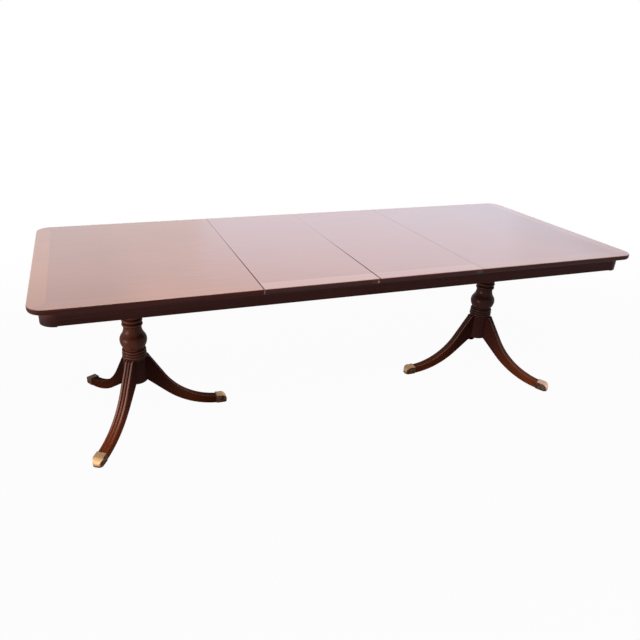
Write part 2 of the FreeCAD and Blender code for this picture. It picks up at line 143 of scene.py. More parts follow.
def mixed(w, factor, first, second, way="MIX"):
    return w.node("ShaderNodeMix", {"data_type": "RGBA", "blend_type": way},
                  {0: factor, 6: first, 7: second}, out=2)


def bumped(w, height, strength, depth, base=None):
    sockets = {"Strength": strength, "Distance": depth, "Height": height}
    if base:
        sockets["Normal"] = base
    return w.node("ShaderNodeBump", {}, sockets)


def give(material, *names):
    for name in names:
        for slot in nodes[name].material_slots:
            slot.material = material


# mahogany grain, which the maple of the rails shares

mahogany = {
    "streakLong": 4.0, "streakFine": 260.0, "figureLong": 2.2, "figureWide": 24.0,
    "poreLong": 130.0, "poreFine": 1700.0, "poreFrom": (0.62, 0.74), "contrast": (0.3, 0.7),
    "figureShare": 0.6, "poreShare": 0.5, "relief": (0.06, 0.0003),
}


def woodGrain(w, along, across, through, seed):  # streaks, pores and broad figure, each 0 to 1
    look = mahogany

    def drawn(long, fine, shift, detail, rough):  # noise that is stretched along the grain
        place = joined(w, along * look[long] + shift, across * look[fine], through * look[fine])
        return noise(w, place, detail=detail, rough=rough)

    streaks = drawn("streakLong", "streakFine", seed, 3.0, 0.6)
    figure = drawn("figureLong", "figureWide", seed * 2, 2.0, 0.5)
    dashes = drawn("poreLong", "poreFine", seed, 1.0, 0.5)
    return (ease(w, streaks, *look["contrast"]), ease(w, dashes, *look["poreFrom"]),
            ease(w, figure, *look["contrast"]))


def tinted(w, grain, colours):  # deep, middle and light wood with dark pores
    streaks, pores, figure = grain
    body = mixed(w, streaks, colours["deep"], colours["light"])
    body = mixed(w, figure * mahogany["figureShare"], body, colours["middle"])
    return mixed(w, pores * colours.get("poreShare", mahogany["poreShare"]), body, colours["pore"])


def grainRelief(w, grain, relief=mahogany["relief"]):
    return bumped(w, grain[0] + grain[1], *relief)


# table top: field along the table, crossbanding round the rim, solid edge

tableTop = {
    "halfLength": 1.2456, "halfWidth": 0.495, "panelStep": 7.3,  # the step sets the panels' grain apart
    # the field's pale pink also carries painted sheen
    "field": {"deep": (0.350, 0.160, 0.122, 1), "middle": (0.381, 0.179, 0.139, 1),
              "light": (0.412, 0.200, 0.157, 1), "pore": (0.25, 0.10, 0.075, 1), "poreShare": 0.25},
    "clouds": {  # figure across the grain, then broad shade
        "warm": {"colour": (0.42, 0.178, 0.12, 1), "share": 0.35, "scale": (11, 4), "layer": 0.0,
                 "panelStep": 3, "rough": 0.55, "from": (0.42, 0.68)},
        "shade": {"colour": (0.33, 0.155, 0.13, 1), "share": 0.4, "scale": (2.6, 3.2), "layer": 0.3,
                  "panelStep": 5, "rough": 0.5, "from": (0.45, 0.7)},
    },
    "mauve": (0.40, 0.228, 0.212, 1), "mauveShares": (0.0, 0.4, 0.55, 0.7),  # one share for each panel: the panels' own tint, with painted sheen that grows to the right
    "leftEndShade": (0.22, 0.085, 0.062, 1), "leftEndShadeShare": 0.22, "cornerShadeShare": 0.36,  # painted shade on the left end, most at the front corner
    "leftEndShadeFrom": (0.80, 1.02), "cornerShadeFront": (0.02, 0.47),
    "rightEndShade": (0.24, 0.145, 0.165, 1), "rightEndShadeShare": 0.22, "rightEndShadeFrom": (0.8, 1.15),  # and painted shade, slightly purple, on the right end
    "band": {"deep": (0.405, 0.180, 0.118, 1), "middle": (0.435, 0.197, 0.131, 1),
             "light": (0.465, 0.218, 0.148, 1), "pore": (0.30, 0.12, 0.08, 1), "poreShare": 0.25},
    "bandWidth": 0.061, "bandBlur": 0.003, "bandPiece": 0.13, "bandTone": 0.3,
    "pieceStep": 3.1, "sideStep": 40, "sideShare": 0.75, "rightShare": 0.6,
    "pale": (0.54, 0.335, 0.315, 1), "paleSides": (0.0, 0.45, 0.3, 0.08), "paleEnd": 0.32,  # faded banding
    "seams": ({"place": -0.4574, "half": 0.0031, "share": 1.0, "closing": (-0.42, 0.3), "rear": 0.3},
              {"place": 0.0, "half": 0.0036, "share": 1.0, "closing": (-0.38, 0.22), "rear": 0.0},
              {"place": 0.4574, "half": 0.0014, "share": 0.65, "closing": (-0.1, 0.45), "rear": 0.5}),
    "seamCore": 0.4, "seamDirt": (0.03, 0.010, 0.008, 1),
    "edge": {"deep": (0.034, 0.010, 0.008, 1), "middle": (0.048, 0.0145, 0.012, 1),
             "light": (0.064, 0.020, 0.017, 1), "pore": (0.018, 0.006, 0.005, 1)},
    "edgeSeed": 2.0, "edgeFrom": (0.45, 0.9), "plum": (0.054, 0.025, 0.028, 1), "plumShare": 0.55,
    "dusty": (0.055, 0.032, 0.028, 1), "dustyShare": 0.3, "dustScale": (14, 60), "dustFrom": (0.45, 0.7),
    "under": {"deep": (0.20, 0.12, 0.065, 1), "middle": (0.26, 0.16, 0.09, 1),
              "light": (0.32, 0.2, 0.12, 1), "pore": (0.12, 0.06, 0.03, 1)},
    "underGap": 0.032, "underFrom": (0.6, 0.9), "underRough": 0.25,
    "rough": 0.4, "smearScale": (3, 7), "smearRough": 0.1, "specular": 0.04,
    "coatRough": 0.2, "coatIor": 1.75,
    "dullShare": 0.22, "dullEnd": (0.98, 1.2), "dullFront": (0.1, 0.46),  # dull right front corner
    "relief": (0.04, 0.0003), "poreRelief": 0.6,
}
rimMarksAndLight = {  # rubbed spots on the front edge, and painted light on the proud end face of leaf 1, each from low to high in X and Z
    "frontDepth": 0.01, "blurX": 0.0012, "blurZ": 0.0015,
    "spots": {
        # painted light on leaf 1's end face, which stands a little proud, on bare end grain
        "leafCorner": {"x": (-0.4574, -0.4546), "z": (0.727, 0.7475),
                       "colour": (0.34, 0.22, 0.18, 1), "share": 0.85},
        "leafFoot": {"x": (-0.4574, -0.439), "z": (0.7265, 0.7305),
                     "colour": (0.30, 0.19, 0.16, 1), "share": 0.6},
        "redPatch": {"x": (-0.034, -0.001), "z": (0.728, 0.749),
                     "colour": (0.10, 0.035, 0.025, 1), "share": 0.6},
        "paleSpot": {"x": (-0.0095, -0.003), "z": (0.731, 0.742),
                     "colour": (0.36, 0.25, 0.20, 1), "share": 0.8},
        "greySmear": {"x": (0.428, 0.4565), "z": (0.731, 0.746),
                      "colour": (0.075, 0.07, 0.062, 1), "share": 0.6},
    },
}


def markedAndLitRim(w, colour, x, y, z):
    front = y < rimMarksAndLight["frontDepth"] - tableTop["halfWidth"]
    for look in rimMarksAndLight["spots"].values():
        spot = within(w, x, *look["x"], rimMarksAndLight["blurX"]) * within(w, z, *look["z"], rimMarksAndLight["blurZ"])
        colour = mixed(w, spot * front * look["share"], colour, look["colour"])
    return colour


def byPanel(x, shares):  # another share for each of the four panels
    total = shares[0]
    for number, joint in enumerate(tableTop["seams"]):
        total = total + (x > joint["place"]) * (shares[number + 1] - shares[number])
    return total


def topFinish():
    look = tableTop
    material, w = newFinish("veneeredTop")
    x, y, z = objectPlace(w)
    normalZ = surfaceNormal(w)[2]
    endGap = look["halfLength"] - abs(x)
    sideGap = look["halfWidth"] - abs(y)
    sideBand = (sideGap < endGap) * (sideGap < look["bandWidth"])
    bandEdge = ease(w, endGap, look["bandWidth"] - look["bandBlur"], look["bandWidth"] + look["bandBlur"])
    endBand = (endGap < sideGap) * (1 - bandEdge)

    panel = sum((x > joint["place"] for joint in look["seams"]), 0.0)  # which of the four panels
    fieldGrain = woodGrain(w, x, y, z, panel * look["panelStep"])
    field = tinted(w, fieldGrain, look["field"])
    for cloud in look["clouds"].values():
        long, wide = cloud["scale"]
        place = joined(w, x * long + panel * cloud["panelStep"], y * wide, cloud["layer"])
        patch = ease(w, noise(w, place, detail=3.0, rough=cloud["rough"]), *cloud["from"])
        field = mixed(w, patch * cloud["share"], field, cloud["colour"])
    # the panels' own tint, with painted sheen growing to the right
    field = mixed(w, byPanel(x, look["mauveShares"]), field, look["mauve"])
    # painted shade on the left end
    leftEnd = ease(w, 0 - x, *look["leftEndShadeFrom"])
    field = mixed(w, leftEnd * look["leftEndShadeShare"], field, look["leftEndShade"])
    # painted shade on the right end
    field = mixed(w, ease(w, x, *look["rightEndShadeFrom"]) * look["rightEndShadeShare"], field, look["rightEndShade"])

    along = x + (y - x) * sideBand
    across = y + (x - y) * sideBand
    piece = w.maths("FLOOR", across / look["bandPiece"])
    pieceTone = w.node("ShaderNodeTexWhiteNoise", {"noise_dimensions": "1D"},
                       {"W": piece + sideBand * look["sideStep"]})
    banding = tinted(w, woodGrain(w, along, across, z, piece * look["pieceStep"]), look["band"])
    plainer = larger(w, look["bandTone"] * pieceTone,
                     larger(w, sideBand * look["sideShare"], (x > 0.0) * look["rightShare"]))
    banding = mixed(w, plainer, banding, field)
    paleSide = sideBand * (y < 0.0) * byPanel(x, look["paleSides"])
    paleEnd = endBand * (x > 0.0) * look["paleEnd"]
    banding = mixed(w, larger(w, paleSide, paleEnd), banding, look["pale"])

    face = mixed(w, larger(w, sideBand, endBand), field, banding)
    # painted shade at the front left corner
    corner = leftEnd * ease(w, 0 - y, *look["cornerShadeFront"])
    face = mixed(w, corner * look["cornerShadeShare"], face, look["leftEndShade"])
    seam = 0.0
    for joint in look["seams"]:
        gaping = 1 - (1 - joint["rear"]) * ease(w, y, *joint["closing"])  # the joints close up to the rear
        line = 1 - ease(w, abs(x - joint["place"]), joint["half"] * look["seamCore"], joint["half"])
        seam = larger(w, seam, line * gaping * joint["share"])
    face = mixed(w, seam, face, look["seamDirt"])

    edgeGrain = woodGrain(w, x, y, z, look["edgeSeed"])
    edge = tinted(w, edgeGrain, look["edge"])
    edge = mixed(w, (x > look["seams"][0]["place"]) * look["plumShare"], edge, look["plum"])
    level, upright = look["dustScale"]
    dust = noise(w, joined(w, x * level, y * level, z * upright), detail=3.0, rough=0.6)
    edge = mixed(w, ease(w, dust, *look["dustFrom"]) * look["dustyShare"], edge, look["dusty"])
    # rubbed spots, and painted light on leaf 1's end face
    edge = markedAndLitRim(w, edge, x, y, z)

    side = 1 - ease(w, normalZ, *look["edgeFrom"])
    wellIn = w.maths("MINIMUM", endGap, sideGap) > look["underGap"]
    below = ease(w, 0 - normalZ, *look["underFrom"]) * wellIn  # bare wood inside the rim
    long, wide = look["smearScale"]
    smear = noise(w, joined(w, x * long, y * wide, z), detail=4.0, rough=0.6)
    dull = ease(w, x, *look["dullEnd"]) * ease(w, 0 - y, *look["dullFront"]) * look["dullShare"]
    setShader(material, {
        "Base Color": mixed(w, below, mixed(w, side, face, edge), tinted(w, edgeGrain, look["under"])),
        "Roughness": look["rough"] + look["smearRough"] * (smear - 0.5) + look["underRough"] * below,
        "Specular IOR Level": look["specular"],
        "Coat Weight": (1 - side) * (1 - seam) * (1 - dull),
        "Coat Roughness": look["coatRough"], "Coat IOR": look["coatIor"],
        "Normal": bumped(w, fieldGrain[0] + fieldGrain[1] * look["poreRelief"], *look["relief"]),
    })
    return material


give(topFinish(), "left_top", "right_top", "leaf_1_board", "leaf_2_board")
print("top veneered")


# aprons

aprons = {
    "wood": {"deep": (0.026, 0.0080, 0.0070, 1), "middle": (0.039, 0.0120, 0.0110, 1),
             "light": (0.058, 0.0180, 0.0165, 1), "pore": (0.015, 0.005, 0.0045, 1)},
    # painted shade along the bottom, painted light along the top under the overhang
    "lowShade": (0.020, 0.0070, 0.0060, 1), "lowShadeShare": 0.7, "lowShadeBelow": (0.676, 0.700),
    "topLight": (0.12, 0.046, 0.045, 1), "topLightShare": 0.7, "topLightAbove": (0.692, 0.718),
    "seed": 5.0, "rough": 0.5, "roughSpread": 0.15, "specular": 0.05,
}


def apronFinish(name, lengthwise):
    look = aprons
    material, w = newFinish(name)
    x, y, z = objectPlace(w)
    along, across = (x, y) if lengthwise else (y, x)
    grain = woodGrain(w, along, z, across, look["seed"])
    # painted shade towards the bottom
    low = 1 - ease(w, z, *look["lowShadeBelow"])
    colour = mixed(w, low * look["lowShadeShare"], tinted(w, grain, look["wood"]), look["lowShade"])
    # painted light towards the top
    high = ease(w, z, *look["topLightAbove"])
    setShader(material, {
        "Base Color": mixed(w, high * look["topLightShare"], colour, look["topLight"]),
        "Roughness": look["rough"] + look["roughSpread"] * (grain[0] - 0.5),
        "Specular IOR Level": look["specular"],
        "Normal": grainRelief(w, grain),
    })
    return material


longApron = apronFinish("apronAlong", True)
endApron = apronFinish("apronAcross", False)
for place in ("left", "right", "leaf_1", "leaf_2"):
    give(longApron, place + "_front_apron", place + "_rear_apron")
give(endApron, "left_end_apron", "right_end_apron", "left_apron_corners", "right_apron_corners")
print("aprons finished")


# turned columns

turnings = {
    "wood": {"deep": (0.066, 0.016, 0.009, 1), "middle": (0.096, 0.026, 0.015, 1),
             "light": (0.138, 0.041, 0.024, 1), "pore": (0.034, 0.011, 0.007, 1)},
    "tones": {"left": (1.0, 1.0, 1.0, 1), "right": (0.45, 0.47, 0.6, 1)},  # the right column is darker: a tone of its own, with painted shade
    "grooves": (0.2942, 0.3067, 0.3192, 0.4387, 0.4569, 0.4764, 0.4959, 0.678),  # heights of the rings
    # dirt and painted shade in the grooves
    "grooveHalf": 0.003, "dirtAndShade": (0.014, 0.006, 0.004, 1), "dirtAndShadeShare": 0.8,
    # painted highlights on the bead crests, which are also rubbed
    "crests": (0.3005, 0.3130, 0.3255, 0.3345, 0.4472, 0.4667, 0.4862),
    "crestHalf": 0.0026, "crest": (0.22, 0.095, 0.05, 1), "crestShare": 0.5, "crestEven": 0.6,
    # painted shade: the drum, in shade between the legs, is painted darker
    "drum": (0.052, 0.0165, 0.0145, 1), "drumTop": 0.294, "drumBlur": 0.01, "drumPolish": 0.05,
    "rough": 0.35, "roughSpread": 0.12, "roughDirt": 0.2, "specular": 0.0,
    "polish": 0.2, "coatRough": 0.28, "coatIor": 1.5,
}


def ringed(w, z, heights, half):  # 1 at each height
    mask = 0.0
    for height in heights:
        mask = larger(w, mask, 1 - ease(w, abs(z - height), 0.0, half))
    return mask


def columnFinish(side, centre, seed):
    look = turnings
    material, w = newFinish(side + "ColumnMahogany")
    x, y, z = objectPlace(w, (centre, 0, 0))
    grain = woodGrain(w, z, x, y, seed)
    groove = ringed(w, z, look["grooves"], look["grooveHalf"])
    # dirt and painted shade in the grooves
    dirtAndShade = groove * look["dirtAndShadeShare"]
    # painted highlights on the bead crests
    crest = ringed(w, z, look["crests"], look["crestHalf"]) * look["crestShare"]
    crest = crest * (look["crestEven"] + (1 - look["crestEven"]) * grain[2])
    above = ease(w, z, look["drumTop"] - look["drumBlur"], look["drumTop"])
    # painted shade on the drum
    colour = mixed(w, 1 - above, tinted(w, grain, look["wood"]), look["drum"])
    colour = mixed(w, crest, colour, look["crest"])
    colour = mixed(w, above, colour, mixed(w, 1.0, colour, look["tones"][side], "MULTIPLY"))
    polish = look["drumPolish"] + (look["polish"] - look["drumPolish"]) * above
    setShader(material, {
        "Base Color": mixed(w, dirtAndShade, colour, look["dirtAndShade"]),
        "Roughness": look["rough"] + look["roughDirt"] * groove + look["roughSpread"] * (grain[0] - 0.5),
        "Specular IOR Level": look["specular"],
        "Coat Weight": polish * (1 - dirtAndShade),
        "Coat Roughness": look["coatRough"], "Coat IOR": look["coatIor"],
        "Normal": grainRelief(w, grain),
    })
    return material


# sabre legs, each with its own grain

legs = {
    "wood": {"deep": (0.098, 0.022, 0.008, 1), "middle": (0.145, 0.0335, 0.012, 1),
             "light": (0.195, 0.049, 0.018, 1), "pore": (0.045, 0.012, 0.006, 1)},
    "slope": 42.0,  # the grain runs down the leg
    "shade": (0.056, 0.0185, 0.0165, 1), "shadeShare": 0.9, "shadeEnd": (0.07, 0.26),
    "tones": {"leftInner": 0.72, "leftFront": 1.2, "leftRear": 0.34,
              "rightInner": 0.66, "rightFront": 0.82, "rightRear": 0.34},  # how light each leg is: a tone of its own, with painted light and shade by where each leg stands
    "lowTones": {"leftInner": 0.5, "rightFront": 1.2}, "lowFrom": (0.2, 0.34),  # and its share at the toe: painted shade at the left inner toe, painted light at the right front toe
    "reedUp": 0.7, "reedOut": 0.5, "reedFrom": (0.2, 0.45), "reedPitch": 0.01333, "grooveHalf": 0.0018,
    # dirt and painted shade in the reed grooves
    "dirtAndShade": (0.012, 0.005, 0.004, 1), "dirtAndShadeAll": 0.1, "dirtAndShadeInner": 0.75, "reedMarksEnd": (0.16, 0.32),
    # painted highlights on the reed crests, which are also rubbed
    "crest": (0.34, 0.205, 0.17, 1), "crestHalf": 0.0048, "middleCrest": 0.45,
    "crestShare": 0.6, "crestShares": {"leftFront": 0.95},
    "lowCrests": {"leftInner": 0.5, "leftFront": 0.03, "leftRear": 0.3,
                  "rightInner": 0.8, "rightFront": 0.9, "rightRear": 0.3},  # painted highlight lines left at the toe
    # painted shade on the undersides
    "underFrom": (0.25, 0.6), "undersideShadeShare": 0.8,
    "rough": 0.4, "roughSpread": 0.15, "roughDirt": 0.2, "specular": 0.0,
    "polish": 0.004, "crestPolish": 0.22, "coatRough": 0.24,
}


def legFinish(name, centre, turn, seed):
    look = legs
    material, w = newFinish(name + "LegMahogany")
    angle = math.radians(turn)
    out, aside, z = objectPlace(w, (centre, 0, 0), angle)
    slope = math.radians(look["slope"])
    along = out * math.cos(slope) - z * math.sin(slope)
    across = out * math.sin(slope) + z * math.cos(slope)
    grain = woodGrain(w, along, across, aside, seed)

    normalX, normalY, normalZ = surfaceNormal(w)
    outward = normalX * math.cos(angle) + normalY * math.sin(angle)
    facing = normalZ * look["reedUp"] + outward * look["reedOut"]
    upper = ease(w, facing, *look["reedFrom"])  # the reeded face
    inner = 1 - ease(w, out, *look["reedMarksEnd"])  # the rubbed crests with their painted highlights, and the dirt and painted shade in the grooves, are strongest near the column
    groove = 1 - ease(w, abs(abs(aside) - look["reedPitch"] / 2), 0.0, look["grooveHalf"])
    # dirt and painted shade in the reed grooves
    dirtAndShade = groove * upper * (look["dirtAndShadeAll"] + look["dirtAndShadeInner"] * inner)
    outerCrest = 1 - ease(w, abs(abs(aside) - look["reedPitch"]), 0.0, look["crestHalf"])
    middleCrest = 1 - ease(w, abs(aside), 0.0, look["crestHalf"])
    crest = larger(w, outerCrest, middleCrest * look["middleCrest"]) * upper
    lowCrest = look["lowCrests"][name]
    crest = crest * (lowCrest + (1 - lowCrest) * inner)

    near = 1 - ease(w, out, *look["shadeEnd"])
    colour = mixed(w, near * look["shadeShare"], tinted(w, grain, look["wood"]), look["shade"])
    # painted light and shade, leg by leg
    tone = look["tones"][name]
    low = tone * look["lowTones"].get(name, 1.0)
    fade = mixed(w, ease(w, out, *look["lowFrom"]), (tone, tone, tone, 1), (low, low, low, 1))
    colour = mixed(w, 1.0, colour, fade, "MULTIPLY")
    below = ease(w, 0 - normalZ, *look["underFrom"])
    colour = mixed(w, below * look["undersideShadeShare"], colour, look["dirtAndShade"])  # painted shade on the undersides
    # painted highlights on the crests
    crestShare = look["crestShares"].get(name, look["crestShare"])
    colour = mixed(w, crest * crestShare, colour, look["crest"])
    setShader(material, {
        "Base Color": mixed(w, dirtAndShade, colour, look["dirtAndShade"]),
        "Roughness": look["rough"] + look["roughSpread"] * (grain[0] - 0.5) + look["roughDirt"] * dirtAndShade,
        "Specular IOR Level": look["specular"],
        "Coat Weight": (look["polish"] + look["crestPolish"] * crest) * (1 - dirtAndShade),
        "Coat Roughness": look["coatRough"],
        "Normal": grainRelief(w, grain),
    })
    return material


# brass toe caps

toeBrass = {
    "bright": (0.60, 0.36, 0.19, 1), "dull": (0.34, 0.20, 0.11, 1), "brown": (0.044, 0.019, 0.011, 1),
    "wearAndLight": {"leftInner": 0.2, "leftFront": 1.0, "leftRear": 0.1,
               "rightInner": 0.45, "rightFront": 0.9, "rightRear": 0.4},  # how bright each top is: rubbing, with painted light and shade
    # painted pink highlight on the right front cap, painted shade on the left rear cap
    "pinkHighlight": (0.62, 0.46, 0.40, 1), "pinkHighlightShares": {"rightFront": 0.5}, "capShade": {"leftRear": 0.75},
    # painted shade browns the sides of the caps and the whole left rear cap
    "start": 0.357, "rimWide": 0.004, "rimStain": 0.5, "evenBrown": 0.82, "brownDulls": 0.93,
    "flankFrom": (0.35, 0.8), "footTop": (0.003, 0.014), "softEdge": 0.005,
    "blotchScale": 60, "blotchFrom": (0.35, 0.7), "blotchDulls": 0.45, "scratchScale": (90, 1400),
    "rough": 0.48, "roughBlotch": 0.18, "roughScratch": 0.1, "roughSidesAndFoot": 0.1, "specular": 0.05,
    "relief": (0.08, 0.0002),
}


def capFinish(name, centre, turn, seed):
    look = toeBrass
    material, w = newFinish(name + "ToeBrass")
    angle = math.radians(turn)
    out, aside, z = objectPlace(w, (centre, 0, 0), angle)
    soft = w.node("ShaderNodeBevel", {"samples": 8}, {"Radius": look["softEdge"]})  # cast edges, worn round
    normalX, normalY = parted(w, soft)[:2]
    coarse = look["blotchScale"]
    blotch = noise(w, joined(w, out * coarse + seed, aside * coarse, z * coarse), detail=4.0, rough=0.6)
    blotch = ease(w, blotch, *look["blotchFrom"])
    long, fine = look["scratchScale"]
    scratch = noise(w, joined(w, out * long + seed, aside * fine, z * fine))
    rim = 1 - ease(w, out - look["start"], 0.0, look["rimWide"])
    # painted shade on the sides of the cap
    flank = ease(w, abs(normalY * math.cos(angle) - normalX * math.sin(angle)), *look["flankFrom"])
    foot = 1 - ease(w, z, *look["footTop"])
    sidesAndFoot = larger(w, flank, foot)  # tops and noses are rubbed; the sides carry painted shade, and the foot is darker
    # each top's brightness: rubbing, with painted light and shade
    dulled = 1 - look["wearAndLight"][name] * (1 - look["blotchDulls"] * blotch)
    colour = mixed(w, dulled, look["bright"], look["dull"])
    # painted pink highlight
    colour = mixed(w, look["pinkHighlightShares"].get(name, 0.0), colour, look["pinkHighlight"])
    brownShare = sidesAndFoot * (look["evenBrown"] + (1 - look["evenBrown"]) * blotch)
    # painted shade on the left rear cap, and the dark rim
    brownShare = larger(w, look["capShade"].get(name, 0.0), larger(w, rim * look["rimStain"], brownShare))
    setShader(material, {
        "Base Color": mixed(w, brownShare, colour, look["brown"]),
        "Metallic": 1 - look["brownDulls"] * brownShare,
        "Roughness": (look["rough"] + look["roughBlotch"] * blotch + look["roughScratch"] * (scratch - 0.5)
                      + look["roughSidesAndFoot"] * sidesAndFoot),
        "Specular IOR Level": look["specular"],
        "Normal": bumped(w, scratch, *look["relief"], soft),
    })
    return material


pedestals = {  # where each stands, and where its legs point
    "left": {"centre": -0.8886, "turns": {"inner": 0, "front": -120, "rear": 120}},
    "right": {"centre": 0.8886, "turns": {"inner": 180, "front": -60, "rear": 60}},
}
seed, seedStep = 0.0, 1.7
for side, look in pedestals.items():
    give(columnFinish(side, look["centre"], seed), side + "_column")
    for place, turn in look["turns"].items():
        seed += seedStep
        title = side + place.capitalize()
        give(legFinish(title, look["centre"], turn, seed), side + "_leg_" + place)
        give(capFinish(title, look["centre"], turn, seed), side + "_toe_cap_" + place)
print("pedestals finished")


# under the top: blocks and slides

hiddenWoods = {
    "seed": 3.0, "rough": 0.6, "roughSpread": 0.15, "specular": 0.3, "relief": (0.1, 0.0004),
    "woods": {
        "blockWood": {"nodes": ("left_pedestal_block", "right_pedestal_block"),
                      "deep": (0.11, 0.045, 0.022, 1), "middle": (0.14, 0.06, 0.03, 1),
                      "light": (0.18, 0.085, 0.045, 1), "pore": (0.06, 0.025, 0.012, 1)},
        "railMaple": {"nodes": ("left_rail_front", "left_rail_rear", "right_rail_front", "right_rail_rear",
                                "centre_rail_front", "centre_rail_rear"),
                      "deep": (0.45, 0.27, 0.13, 1), "middle": (0.52, 0.34, 0.18, 1),
                      "light": (0.6, 0.42, 0.24, 1), "pore": (0.3, 0.17, 0.08, 1)},
    },
}


def hiddenWoodFinish(name, wood):
    look = hiddenWoods
    material, w = newFinish(name)
    grain = woodGrain(w, *objectPlace(w), look["seed"])
    setShader(material, {
        "Base Color": tinted(w, grain, wood),
        "Roughness": look["rough"] + look["roughSpread"] * (grain[0] - 0.5),
        "Specular IOR Level": look["specular"],
        "Normal": grainRelief(w, grain, look["relief"]),
    })
    return material


for name, wood in hiddenWoods["woods"].items():
    give(hiddenWoodFinish(name, wood), *wood["nodes"])
print("blocks and slides finished")


# gears, plates, pins and locks

hiddenMetals = {
    "blotchScale": 90.0, "blotchFrom": (0.4, 0.7), "blotchShare": 0.7, "blotchDulls": 0.5,
    "blotchRough": 0.2, "scratchScale": (120, 1600), "scratchRough": 0.1, "relief": (0.1, 0.0002),
    "metals": {
        "gearSteel": {"bright": (0.55, 0.55, 0.54, 1), "dull": (0.22, 0.2, 0.18, 1), "rough": 0.38,
                      "nodes": ("left_racks", "right_racks", "pinion_front", "pinion_rear",
                                "pinion_axles")},
        "plateIron": {"bright": (0.035, 0.032, 0.03, 1), "dull": (0.06, 0.028, 0.016, 1), "rough": 0.7,
                      "nodes": ("left_base_plate", "right_base_plate")},
        "screwSteel": {"bright": (0.16, 0.145, 0.13, 1), "dull": (0.08, 0.055, 0.04, 1), "rough": 0.5,
                       "nodes": ("left_screws", "right_screws")},
        "lockSteel": {"bright": (0.5, 0.47, 0.42, 1), "dull": (0.24, 0.18, 0.12, 1), "rough": 0.42,
                      "nodes": tuple("lock_%d_%s" % (number, part) for number in (1, 2, 3)
                                     for part in ("plate", "catch", "lever"))},
        "pinBrass": {"bright": (0.75, 0.52, 0.27, 1), "dull": (0.4, 0.26, 0.12, 1), "rough": 0.35,
                     "nodes": ("left_pins", "leaf_1_pins", "leaf_2_pins")},
    },
}


def hiddenMetalFinish(name, metal):
    look = hiddenMetals
    material, w = newFinish(name)
    x, y, z = objectPlace(w)
    blotch = noise(w, joined(w, x, y, z), look["blotchScale"], detail=5.0, rough=0.65)
    blotch = ease(w, blotch, *look["blotchFrom"])
    long, fine = look["scratchScale"]
    scratch = noise(w, joined(w, x * long, y * fine, z * fine))
    setShader(material, {
        "Base Color": mixed(w, blotch * look["blotchShare"], metal["bright"], metal["dull"]),
        "Metallic": 1 - look["blotchDulls"] * blotch,
        "Roughness": metal["rough"] + look["blotchRough"] * blotch + look["scratchRough"] * (scratch - 0.5),
        "Normal": bumped(w, scratch, *look["relief"]),
    })
    return material


for name, metal in hiddenMetals["metals"].items():
    give(hiddenMetalFinish(name, metal), *metal["nodes"])
print("fittings finished")


# countersunk screws of the lock plates and catches, modelled once

lockScrews = {
    "radius": 0.0029, "sides": 28, "depth": 0.0012, "proud": 0.00025, "roundOff": 0.0003, "smoothAngle": 35,
    "slotLong": 2.4, "slotWide": 0.0007, "slotDeep": 0.00045,  # slotLong in radii
    "plateThick": 0.0025, "inset": 0.0055, "turns": (20, 75, 130, 40),
    "steel": (0.2, 0.18, 0.16, 1), "worn": (0.1, 0.075, 0.055, 1), "dirtAndShade": (0.012, 0.009, 0.007, 1),
    "dirtAndShadeFrom": (0.7254, 0.7256), "blotchScale": 240.0, "blotchFrom": (0.4, 0.7), "blotchDulls": 0.5,
    "rough": 0.45, "blotchRough": 0.25,
    "bodies": {"lock_1_plate": "left_half", "lock_1_catch": "leaf_1", "lock_2_plate": "leaf_1",
               "lock_2_catch": "leaf_2", "lock_3_plate": "leaf_2", "lock_3_catch": "right_half"},
}


def makeScrewHead():
    look = lockScrews
    bpy.ops.object.select_all(action="DESELECT")
    bpy.ops.mesh.primitive_cube_add(size=1, location=(0, 0, -look["depth"] / 2))
    slot = bpy.context.object
    slot.scale = (look["radius"] * look["slotLong"], look["slotWide"], look["slotDeep"] * 2)
    bpy.ops.object.transform_apply(location=True, rotation=True, scale=True)
    bpy.ops.object.select_all(action="DESELECT")
    bpy.ops.mesh.primitive_cylinder_add(vertices=look["sides"], radius=look["radius"], depth=look["depth"])
    head = bpy.context.object
    for edge in head.data.edges:  # the rim of the lower face
        edge.select = all(head.data.vertices[end].co.z < 0 for end in edge.vertices)
    for face in head.data.polygons:
        face.select = face.normal.z < -0.9
    for corner in head.data.vertices:
        corner.select = corner.co.z < 0
    bpy.ops.object.mode_set(mode="EDIT")
    bpy.ops.mesh.bevel(offset=look["roundOff"], segments=2)
    bpy.ops.object.mode_set(mode="OBJECT")
    cut = head.modifiers.new("slotCut", "BOOLEAN")
    cut.object = slot
    cut.operation = "DIFFERENCE"
    bpy.ops.object.modifier_apply(modifier=cut.name)
    bpy.data.objects.remove(slot)
    return head


def copyHead(head, place, turn):
    bpy.ops.object.select_all(action="DESELECT")
    head.select_set(True)
    bpy.context.view_layer.objects.active = head
    bpy.ops.object.duplicate(linked=False)
    copy = bpy.context.object
    copy.location = place
    copy.rotation_euler = (0, 0, math.radians(turn))
    return copy


def screwFinish():
    look = lockScrews
    material, w = newFinish("lockScrewSteel")
    x, y, z = objectPlace(w)
    blotch = noise(w, joined(w, x, y, z), look["blotchScale"], detail=4.0, rough=0.6)
    blotch = ease(w, blotch, *look["blotchFrom"])
    slotDark = ease(w, z, *look["dirtAndShadeFrom"])  # dirt and painted shade in the slots
    setShader(material, {
        "Base Color": mixed(w, slotDark, mixed(w, blotch, look["steel"], look["worn"]), look["dirtAndShade"]),
        "Metallic": 1 - look["blotchDulls"] * larger(w, blotch, slotDark),
        "Roughness": look["rough"] + look["blotchRough"] * blotch,
    })
    return material


